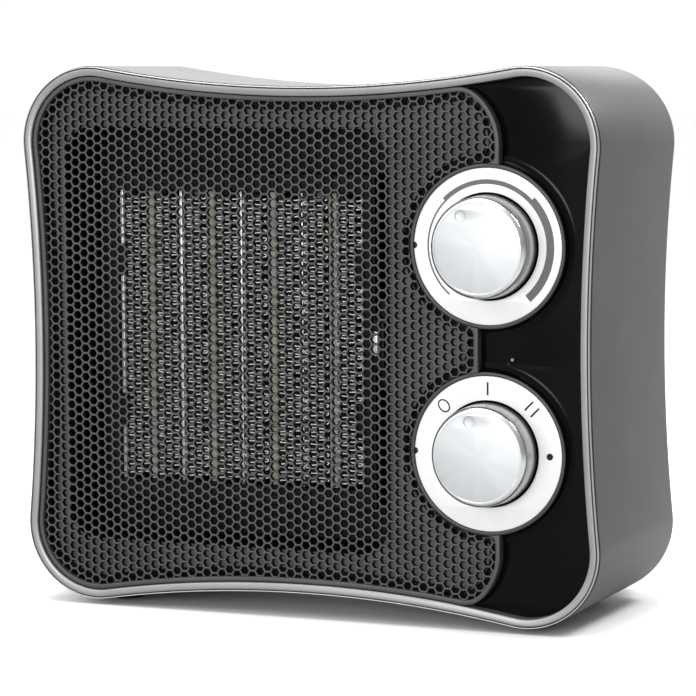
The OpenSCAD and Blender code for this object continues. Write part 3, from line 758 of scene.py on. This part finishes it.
# The raised field that closes the mesh's holes around the window.
pad = grille_run(GROOVE_W)
pad_r = RING_R + 3.6
pad_turn = ring_angle(NECK_X - GROOVE_W, pad_r)
pad_start = ring_angle(EDGE_X - GROOVE_W, pad_r)
pad += arc(DIAL_X, LOW_Z, pad_r, TURN - pad_start, pad_turn, 60)
pad += arc(DIAL_X, UP_Z, pad_r, TURN - pad_turn, pad_start, 60)
panel.plate([pad, window], PAD_D, FLOOR_D + 0.2, 0.3, slot=2)

# The gloss face right of the grille, which runs a little way under the grille's edge. The outline's list is
# turned to start with the underside, so that the points on the right follow each other.
UNDER = 1.0
BOTTOM_START = 5 * ARC_STEPS
fx, fz, waist, lobe = waist_join(1)
gx, gz, waist2, lobe2 = waist_join(-1)
from_bottom = FULL[BOTTOM_START:] + FULL[:BOTTOM_START]
loop = [p for p in from_bottom if p[0] > fx + 1.5]
loop += arc(fx, fz, JOIN_R - UNDER, waist + 180, lobe, 8)
loop += arc(LOBE_X, DIAL_MID + LOBE_Z, LOBE_R - UNDER, lobe, 0, 14)
loop += [(EDGE_X - UNDER, UP_Z + 20), (NECK_X - UNDER, UP_Z - 20)]
loop += [(NECK_X - UNDER, LOW_Z + 20), (EDGE_X - UNDER, LOW_Z - 20)]
loop += arc(LOBE_X, DIAL_MID - LOBE_Z, LOBE_R - UNDER, 0, lobe2, 14)
loop += arc(gx, gz, JOIN_R - UNDER, lobe2, waist2 - 180, 8)
panel.plate([loop, lamp_hole], PANEL_D, FLOOR_D + 0.2, 0.08, slot=0)

# A raised ring round each dial, and the gloss face's sweep up to it on the right.
RING_IN = 29.72
RING_BACK = 7.2
SEAT_IN, SEAT_D = 26, 3.2
FLOW = 3.4
FLOW_D = 1.89
ring = [(SEAT_IN, RING_BACK), (SEAT_IN, SEAT_D), (RING_IN, SEAT_D), (RING_IN, 1.8), (29.8, 1.55)]
ring += [(30.0, 1.42), (30.35, 1.4), (30.7, 1.44), (31.0, 1.6), (31.15, 1.85), (RING_R, 2.2)]
ring.append((RING_R, RING_BACK))
flow = [(RING_R - 0.2, 1.75), (RING_R - 0.02, 1.85)]
flow += quarter(RING_R, FLOW_D, FLOW, PANEL_D - 0.01 - FLOW_D)
flow.append((RING_R - 0.2, PANEL_D + 0.2))
for (x, z), start, stop in ((DIALS[0], -neck_turn, outer_turn), (DIALS[1], -outer_turn, neck_turn)):
    panel.lathe(x, z, ring, slot=4, steps=180, closed=True)
    panel.lathe(x, z, flow, slot=0, steps=120, start=start, stop=stop, closed=True)

# The rim that fits inside the sleeve, and the bosses on the right that take two of the cover's screws.
RIM_FRONT, RIM_BACK = 7.4, 16
RIM_IN, RIM_OUT = 6.1, 4.1
POST_X, POST_Z = 88, 74
BOSS_BACK = 20
BOSS_BORE = 1.5
rim = [(RIM_OUT, RIM_FRONT), (RIM_IN, RIM_FRONT), (RIM_IN, RIM_BACK), (RIM_OUT, RIM_BACK)]
boss = [(BOSS_BORE, 11), (BOSS_BORE, BOSS_BACK), (4.2, BOSS_BACK), (4.5, BOSS_BACK - 0.3), (4.7, RIM_FRONT)]
boss.append((BOSS_BORE, RIM_FRONT))
panel.sweep(lambda inset, depth: outline(inset), rim, slot=2)
for side in (-1, 1):
    panel.lathe(POST_X, side * POST_Z, boss, slot=2, steps=32, closed=True)
panel_finishes = [gloss, ridge_black, pad_black, painted_shade_black, ring_black]
panel.finish(panel_finishes, node=["front_panel"], finish="gloss_black", angle=35)

# ---------- Pilot lamp ----------

lens_shape = [(0, 4.55), (0.25, 4.57), (0.45, 4.64), (0.6, 4.8), (0.62, 6.5), (0, 6.5)]
collar = [(0.66, 5.6), (0.66, 4.95), (0.8, 4.8), (1.2, 4.8), (1.5, 4.98), (1.52, 7.2)]
lamp = Piece("lamp")
lamp.lathe(LAMP[0], LAMP[1], lens_shape, slot=0, steps=32)
lamp.lathe(LAMP[0], LAMP[1], collar, slot=1, steps=40)
lamp.finish([lens, gloss], node=["pilot_lamp"], finish="lamp_lens")

# ---------- Dials ----------


def around(cx, cz, r, clock):
    """Point at a clock angle in degrees, clockwise from straight up."""
    a = math.radians(clock)
    return cx + r * math.sin(a), cz + r * math.cos(a)


def band(cx, cz, r_in, r_out, a, b, steps=40):
    """Closed band between two radii and two clock angles."""
    angles = [a + (b - a) * i / steps for i in range(steps + 1)]
    return [around(cx, cz, r_out, t) for t in angles] + [around(cx, cz, r_in, t) for t in angles[::-1]]


def bar_mark(cx, cz, clock, r_in, r_out, width, aside=0.0):
    """Straight bar along the radius at a clock angle, moved sideways."""
    a = math.radians(clock)
    out = []
    for r, s in ((r_in, -0.5), (r_out, -0.5), (r_out, 0.5), (r_in, 0.5)):
        off = s * width + aside
        out.append((cx + r * math.sin(a) + off * math.cos(a), cz + r * math.cos(a) - off * math.sin(a)))
    return out


def oval(cx, cz, clock, r, w, h, steps=40):
    """Oval at a clock angle, upright along the radius."""
    a = math.radians(clock)
    out = []
    for i in range(steps):
        t = math.radians(TURN * i / steps)
        u, v = w / 2 * math.cos(t), r + h / 2 * math.sin(t)
        out.append((cx + v * math.sin(a) + u * math.cos(a), cz + v * math.cos(a) - u * math.sin(a)))
    return out


DIAL_R = 29.6
WELL_R = 20.4
DIAL_FRONT = 2.0
DIAL_BACK = 3.2
NOTCH_R = 1.25
notch_half = math.degrees(2 * math.asin(NOTCH_R / 2 / DIAL_R))
for (x, z), control in zip(DIALS, ("thermostat", "switch")):
    edge = arc(x, z, DIAL_R, 180 + notch_half, 180 + TURN - notch_half, 160)
    edge += arc(x - DIAL_R, z, NOTCH_R, 92, -92, 14)
    plate = Piece(control + "_plate")
    plate.plate([edge, circle(x, z, WELL_R, 120)], DIAL_FRONT, DIAL_BACK, 0.18, fine=3)
    plate.finish([dial_finish], node=[control + "_dial"], finish="dial_silver")

# ---------- Marks on the dials ----------

INK_FRONT = 1.965
MARK_R = 25
SCALE_R = 23.5
SCALE_END = 140
OFF_CLOCK = -45


def print_mark(piece, loops):
    """A thin layer of ink that stands just proud of the dial's face."""
    piece.plate(loops, INK_FRONT, DIAL_FRONT + 0.05, 0.01, fine=0)


# The thermostat's scale grows thicker in three steps, clockwise.
x, z = DIALS[0]
marks = Piece("thermostat_marks")
for a, b, thick in ((-SCALE_END, -45, 0.7), (-45, 45, 1.8), (45, SCALE_END, 3.1)):
    print_mark(marks, [band(x, z, SCALE_R, SCALE_R + thick, a, b)])
marks.finish([print_ink], finish="dial_silver")

# The switch has a nought, one bar, two bars and a dot.
x, z = DIALS[1]
marks = Piece("switch_marks")
print_mark(marks, [oval(x, z, OFF_CLOCK, MARK_R, 4.4, 5.6), oval(x, z, OFF_CLOCK, MARK_R, 3.3, 4.5)])
print_mark(marks, [bar_mark(x, z, 0, 22.3, 27.3, 0.75)])
for aside in (-1.7, 1.7):
    print_mark(marks, [bar_mark(x, z, 45, 22.6, 27.4, 0.7, aside)])
dot_x, dot_z = around(x, z, 24.8, 90)
print_mark(marks, [circle(dot_x, dot_z, 1.3, 32)])
marks.finish([deep_ink], finish="dial_silver")

# ---------- Knobs ----------

FACE_D = depth_mm(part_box("thermostat_knob")[0].y)
FACE_DEPTHS = (FACE_D + 0.12, FACE_D + 0.5)
FACE_R = 16.95
KNOB_BASE = 2.8
CAP_BACK = FACE_D + 2.7
BORE_R = 3.1
HUB_R = 6
HUB_END = KNOB_BASE - 0.4
DIMPLE_AT = 13.7
DIMPLE_R = 2.2
BEVEL_END = (19.0, FACE_D + 2.0)
bevel = [(16.8, FACE_D + 0.3), (FACE_R, FACE_D + 0.1), (17.08, FACE_D + 0.01), (17.3, FACE_D)]
bevel += [(17.5, FACE_D + 0.06), (17.85, FACE_D + 0.3), (18.5, FACE_D + 1.0), (18.85, FACE_D + 1.5)]
bevel.append(BEVEL_END)
skirt = [BEVEL_END, (19.08, FACE_D + 2.15), (19.55, KNOB_BASE - 0.3), (19.45, KNOB_BASE - 0.05)]
skirt += [(19.3, KNOB_BASE), (18.0, KNOB_BASE), (17.2, CAP_BACK), (HUB_R, CAP_BACK), (HUB_R, HUB_END)]
skirt.append((BORE_R, HUB_END))
bowl = [(DIMPLE_R + 0.1, FACE_D + 0.12)] + quarter(DIMPLE_R, FACE_D + 0.2, -DIMPLE_R, 0.4, 9)

# At its lowest setting a knob's dimple points to the start of the scale, so the joint's range says where the
# dimple is at rest.
lowest = {j["name"]: j["range_deg"][0] for j in frame["joints"] if "range_deg" in j}
starts = {"thermostat": -SCALE_END, "switch": OFF_CLOCK}
for (x, z), control, knob_face in zip(DIALS, ("thermostat", "switch"), knob_faces):
    setting = starts[control] - lowest[control + "_turn"]
    px, pz = around(x, z, DIMPLE_AT, setting)
    knob = Piece(control + "_knob_cap")
    knob.plate([circle(x, z, FACE_R, 140), circle(px, pz, DIMPLE_R, 48)], *FACE_DEPTHS, 0.08)
    knob.lathe(px, pz, bowl, slot=0, steps=48)
    knob.lathe(x, z, bevel, slot=2, steps=180)
    knob.lathe(x, z, skirt, slot=1, steps=180)
    knob.finish(
        [knob_face, knob_side, knob_bevel],
        body=control + "_control",
        node=[control + "_knob"],
        finish="knob_metal",
        angle=28,
    )

# ---------- Heating element ----------


def span(node):
    """Lowest and highest corner of a CAD node, as (x, depth, z) in millimetres."""
    lo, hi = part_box(node)
    return (
        (lo.x / MM, depth_mm(lo.y), (lo.z - MID_Z) / MM),
        (hi.x / MM, depth_mm(hi.y), (hi.z - MID_Z) / MM),
    )


def named(start):
    """The CAD nodes whose names start like this, in order."""
    return sorted(n for n in frame["nodes"] if n.startswith(start))


# Electrode plates, each with a folded lip along both sides of its front edge.
ELECTRODE_HALF = 0.5
LIP_HALF = 0.1
for node in named("electrode_plate_"):
    lo, hi = span(node)
    piece = Piece(node + "_strip")
    mid = (lo[0] + hi[0]) / 2
    piece.box((mid - ELECTRODE_HALF, lo[1], lo[2]), (mid + ELECTRODE_HALF, hi[1], hi[2]), 0.15)
    for side in (-1, 1):
        lip = mid + side * ELECTRODE_HALF
        piece.box((lip - LIP_HALF, lo[1] - 0.05, lo[2] + 1), (lip + LIP_HALF, lo[1] + 1.2, hi[2] - 1), 0.04)
    piece.finish([aluminium], node=[node], finish="bright_aluminium")

# Rows of ceramic stones, set a little unevenly.
STONES = 5
for node in named("ceramic_row_"):
    lo, hi = span(node)
    piece = Piece(node + "_stones")
    height = (hi[2] - lo[2]) / STONES
    for k in range(STONES):
        shift = random.uniform(-0.12, 0.12)
        piece.box((lo[0] + 0.1, lo[1] + 0.1 + abs(shift), lo[2] + k * height + 0.15),
                  (hi[0] - 0.1, hi[1] - 0.1, lo[2] + (k + 1) * height - 0.15), 0.25)
    piece.finish([ceramic], node=[node], finish="ceramic")

FIN_RISE = 1.62
FIN_HALF = 0.24
FIN_ASIDE = 0.25
FOLD_R = 0.45


def zigzag(left, right, bottom, top):
    """Points (x, z) of a strip folded to and fro on its way up, with slightly uneven folds."""
    out = []
    for k in range(int((top - bottom) / FIN_RISE)):
        z0 = bottom + k * FIN_RISE
        z1 = z0 + FIN_RISE
        xa, xb = (left, right) if k % 2 == 0 else (right, left)
        jitter = random.uniform(-0.12, 0.12)
        way = 1 if xb > xa else -1
        out.append((xa, z0 + FOLD_R + jitter))
        out.append((xa + way * 0.28, z0 + FOLD_R + 0.2 + jitter))
        out.append((xb - way * 0.9, z1 - 0.3 + jitter))
        out.append((xb - way * 0.25, z1 - 0.16 + jitter))
        out.append((xb, z1 + 0.18 + jitter))
    return out


# Folded fins: bright front edges (partly bare metal, partly painted highlight), sheets darkened as painted shade.
for node in named("fin_strip_"):
    lo, hi = span(node)
    line = zigzag(lo[0] + FIN_ASIDE, hi[0] - FIN_ASIDE, lo[2], hi[2])
    verts, edges, sides = [], [], []
    for i, (px, pz) in enumerate(line):
        qx, qz = line[min(i + 1, len(line) - 1)]
        ox, oz = line[max(i - 1, 0)]
        tx, tz = qx - ox, qz - oz
        size = max(1e-6, math.hypot(tx, tz))
        nx, nz = -tz / size * FIN_HALF, tx / size * FIN_HALF
        for side, depth in ((1, lo[1]), (-1, lo[1]), (-1, hi[1]), (1, hi[1])):
            verts.append((px + side * nx, depth, pz + side * nz))
        if i:
            b = 4 * i
            a = b - 4
            edges.append([a, b, b + 1, a + 1])
            for n in range(1, 4):
                n2 = (n + 1) % 4
                sides.append([a + n, b + n, b + n2, a + n2])
    piece = Piece(node + "_folds")
    piece.add(verts, edges + sides)
    piece.slots[:len(edges)] = [1] * len(edges)
    piece.finish([fin_sheet_painted_shade, fin_edge_painted_highlight], node=[node], finish="bright_aluminium", angle=60)

# ---------- Thermal cutout ----------

CUTOUT_HALF_H = 10
CUTOUT_DEEP = 10
TAB_FRONT, TAB_BACK = 6, 6.8
lo, hi = span("thermal_cutout")
cut = Piece("cutout_body")
mid_z = (lo[2] + hi[2]) / 2
cut.box((lo[0], lo[1], mid_z - CUTOUT_HALF_H), (hi[0], lo[1] + CUTOUT_DEEP, mid_z + CUTOUT_HALF_H), 0.5)
cut.box((lo[0] + 0.5, lo[1] + TAB_FRONT, lo[2]), (hi[0] - 0.5, lo[1] + TAB_BACK, hi[2]), 0.15)
cut.finish([hot_black], node=["thermal_cutout"], finish="heat_plastic")
lo, hi = span("cutout_contact")
contact = Piece("contact_strip")
contact.box(lo, hi, 0.3)
contact.finish([polished], node=["cutout_contact"], finish="steel")

# ---------- Rear cover ----------

# A rim that goes inside the sleeve, a rounded shoulder, and a flat back with rings of slots between eight
# ribs round the fan's axis.
SHOULDER_D = 95.5
COVER_IN = 6.5
SPIGOT_OUT, SPIGOT_IN = 8.3, 10.3
SPIGOT_D = 84
DOME_IN = 20
BACK_T = 2.5
outer = [(SPIGOT_OUT, SLEEVE_D), (6.9, SLEEVE_D), (6.6, SLEEVE_D + 0.15), (COVER_IN, SLEEVE_D + 0.5)]
outer += quarter(COVER_IN, SHOULDER_D, DOME_IN - COVER_IN, BACK - SHOULDER_D, 16)
outer.append((DOME_IN + 1, BACK))
lining = [(SPIGOT_OUT, SLEEVE_D), (SPIGOT_OUT, SPIGOT_D), (SPIGOT_IN, SPIGOT_D)]
lining += quarter(SPIGOT_IN, SHOULDER_D, DOME_IN - SPIGOT_IN, BACK - BACK_T - SHOULDER_D, 12)
lining.append((DOME_IN + 1, BACK - BACK_T))
rear = Piece("rear_shell")
rear.sweep(body_ring, outer, closed=False)
rear.sweep(body_ring, lining, closed=False)
SLOTS = 6
SLOT_W = 4.5
SLOT_STEP = 7.5
SLOT_FIRST = 12
RIB = 3.5
RIBS = 8
SECTOR = TURN / RIBS


def rib_side(r):
    """Angle between the middle of a rib and its side, at a radius."""
    return math.degrees(math.asin(RIB / 2 / r))


def slot_side(r, a, b):
    """A slot's curved side, as points from angle a to angle b and including both."""
    return arc(FRAME_X, 0, r, a, b, 12) + arc(FRAME_X, 0, r, b, a, 1)


# Holes of the cover: the slots, the wells of its screws and the gland's hole.
holes = []
for k in range(SLOTS):
    r0 = SLOT_FIRST + k * SLOT_STEP
    r1 = r0 + SLOT_W
    for q in range(RIBS):
        mid = SECTOR * (q + 0.5)
        h0 = SECTOR / 2 - rib_side(r0)
        h1 = SECTOR / 2 - rib_side(r1)
        holes.append(slot_side(r1, mid - h1, mid + h1) + slot_side(r0, mid + h0, mid - h0))
GLAND = centre_mm("cord_gland")
GLAND_HOLE_R = 7.6
SCREW_WELL_R = 3.3
posts = [(sx * POST_X, sz * POST_Z) for sx in (-1, 1) for sz in (-1, 1)]
holes += [circle(px, pz, SCREW_WELL_R, 32) for px, pz in posts]
holes.append(circle(GLAND[0], GLAND[1], GLAND_HOLE_R, 48))
rear.plate([body_ring(DOME_IN, BACK)] + holes, BACK - BACK_T, BACK, 0.25)
for px, pz in posts:
    well_lip = [(SCREW_WELL_R, BACK - 0.3), (3.45, BACK), (4.9, BACK), (5.2, BACK - 0.28)]
    rear.lathe(px, pz, well_lip, steps=40)
rear.finish([cover_finish], node=["rear_cover"], finish="cover_plastic", angle=32)

# ---------- Cord gland ----------

GLAND_BORE = 3.6
GLAND_NECK = 5.5
GLAND_LIP = 7.5
grommet = [(GLAND_BORE, BACK - 10), (GLAND_NECK, BACK - 10), (GLAND_NECK, BACK - 2.4)]
grommet += [(GLAND_LIP, BACK - 2.4), (GLAND_LIP, BACK - 0.5), (7.35, BACK - 0.2), (7.0, BACK), (5.6, BACK)]
grommet += [(5.4, BACK - 0.3), (4.9, BACK - 0.35), (4.7, BACK - 0.05), (3.9, BACK), (GLAND_BORE, BACK - 0.3)]
gland = Piece("gland_grommet")
gland.lathe(GLAND[0], GLAND[1], grommet, steps=64, closed=True)
gland.finish([rubber], node=["cord_gland"], finish="soft_black")

# ---------- Feet ----------

FOOT_STEPS = 48
for node in named("foot_"):
    lo, hi = span(node)
    r = (hi[0] - lo[0]) / 2
    sole = lo[2]
    profile = [(0, sole + 0.25), (r - 3.2, sole + 0.2), (r - 2.6, sole), (r - 0.7, sole)]
    profile += [(r - 0.15, sole + 0.2), (r, sole + 0.7), (r, hi[2]), (0, hi[2])]
    verts, faces = [], []
    for radius, height in profile:
        turned = arc((lo[0] + hi[0]) / 2, (lo[1] + hi[1]) / 2, radius, 0, TURN, FOOT_STEPS)
        verts += [(px, depth, height) for px, depth in turned]
    for i in range(len(profile) - 1):
        near = i * FOOT_STEPS
        far = near + FOOT_STEPS
        for j in range(FOOT_STEPS):
            j2 = (j + 1) % FOOT_STEPS
            faces.append([near + j, near + j2, far + j2, far + j])
    foot = Piece(node + "_pad")
    foot.add(verts, faces)
    foot.finish([rubber], node=[node], finish="soft_black")

# ---------- CAD nodes that stay, with better finishes ----------

FINISHES = {
    "heat_plastic": hot_black,
    "steel": steel,
    "bakelite": bakelite,
    "fan_plastic": fan_grey,
    "rotor_metal": rotor_steel,
    "lamination": lamination,
    "copper": copper,
    "bronze": bronze,
    "cover_plastic": cover_finish,
    "soft_black": rubber,
    "bright_aluminium": aluminium,
    "ceramic": ceramic,
}
slot_of = {p["node"]: p["material_slot"] for p in frame["record"]["subparts"]}
for node, thing in frame["nodes"].items():
    if thing.hide_render:
        continue
    finish = FINISHES.get(slot_of.get(node), steel)
    for slot in thing.material_slots:
        slot.material = finish

# ---------- Floor, light and camera ----------

FLOOR_HALF = 6
corners = [(sx * FLOOR_HALF, sy * FLOOR_HALF, 0) for sx, sy in ((-1, -1), (1, -1), (1, 1), (-1, 1))]
ground = bpy.data.meshes.new("floor")
ground.from_pydata(corners, [], [[0, 1, 2, 3]])
floor = bpy.data.objects.new("floor", ground)
bpy.context.scene.collection.objects.link(floor)
white = surface("floor_white", (0.86, 0.86, 0.86), (0.9, 0.9, 0.9), (0.7, 0.8), scale=3, grain=200)

# The camera sees the floor nearly white. For all other rays it is grey, so that it throws little light up.
pale = white.node_tree.nodes
tone = pale["Principled BSDF"].inputs["Base Color"]
held_back = pale.new("ShaderNodeMix")
held_back.data_type = "RGBA"
view = pale.new("ShaderNodeLightPath")
white.node_tree.links.new(view.outputs["Is Camera Ray"], held_back.inputs["Factor"])
held_back.inputs["A"].default_value = (0.46, 0.46, 0.46, 1)
white.node_tree.links.new(tone.links[0].from_socket, held_back.inputs["B"])
white.node_tree.links.new(held_back.outputs["Result"], tone)
ground.materials.append(white)

# The studio is brighter above and to the left of the heater, while the camera sees it plain white.
world = bpy.data.worlds.new("studio")
world.use_nodes = True
sky = world.node_tree.nodes
wires = world.node_tree.links
where_to = sky.new("ShaderNodeTexCoord")
toward = sky.new("ShaderNodeVectorMath")
toward.operation = "DOT_PRODUCT"
toward.inputs[1].default_value = (-0.65, -0.05, 0.25)
wires.new(where_to.outputs["Generated"], toward.inputs[0])
level = sky.new("ShaderNodeMath")
level.operation = "ADD"
level.inputs[1].default_value = 0.95
wires.new(toward.outputs["Value"], level.inputs[0])
seen = sky.new("ShaderNodeLightPath")
pick = sky.new("ShaderNodeMix")
wires.new(seen.outputs["Is Camera Ray"], pick.inputs["Factor"])
wires.new(level.outputs["Value"], pick.inputs["A"])
pick.inputs["B"].default_value = 1.1
sky["Background"].inputs["Color"].default_value = (1, 1, 1, 1)
wires.new(pick.outputs["Result"], sky["Background"].inputs["Strength"])
bpy.context.scene.world = world


def softbox(name, where, aim, size, power):
    """A rectangular area light that faces the point aim."""
    data = bpy.data.lights.new(name, "AREA")
    data.shape = "RECTANGLE"
    data.size, data.size_y = size
    data.energy = power
    lamp_object = bpy.data.objects.new(name, data)
    bpy.context.scene.collection.objects.link(lamp_object)
    lamp_object.location = where
    lamp_object.rotation_euler = (Vector(aim) - Vector(where)).to_track_quat("-Z", "Y").to_euler()
    return lamp_object


MIDDLE = (0, 0, MID_Z)
softbox("top_light", (-0.1, -0.1, 1.5), MIDDLE, (1.0, 0.8), 18)
softbox("key_light", (-1.1, -1.5, 1.2), MIDDLE, (0.9, 0.9), 6)
softbox("front_light", (-0.1, -1.8, 0.4), MIDDLE, (0.4, 0.4), 12)
softbox("back_light", (-0.15, 0.55, 0.5), (-0.05, 0, 0.21), (0.5, 0.3), 0.7)
softbox("side_light", (0.34, 0.06, 0.42), (0.12, 0, 0.19), (0.12, 0.12), 1.6)

eye = bpy.data.cameras.new("camera")
eye.lens = 168.3
eye.sensor_width = 36
eye.shift_x = 0.0017
eye.shift_y = 0.019
eye.clip_start = 0.05
camera = bpy.data.objects.new("camera", eye)
bpy.context.scene.collection.objects.link(camera)
EYE_AT = (0.5057, -1.19035, 0.2324)
yaw, pitch, roll = math.radians(-23.16), math.radians(-6.04), math.radians(-0.394)
forward = Vector((math.sin(yaw) * math.cos(pitch), math.cos(yaw) * math.cos(pitch), math.sin(pitch)))
right = forward.cross(Vector((0, 0, 1))).normalized()
up = right.cross(forward)
right2 = right * math.cos(roll) + up * math.sin(roll)
up2 = up * math.cos(roll) - right * math.sin(roll)
turn = Matrix((right2, up2, -forward)).transposed().to_4x4()
camera.matrix_world = Matrix.Translation(EYE_AT) @ turn
bpy.context.scene.camera = camera
bpy.context.scene.view_settings.view_transform = "Standard"
bpy.context.scene.view_settings.look = "None"
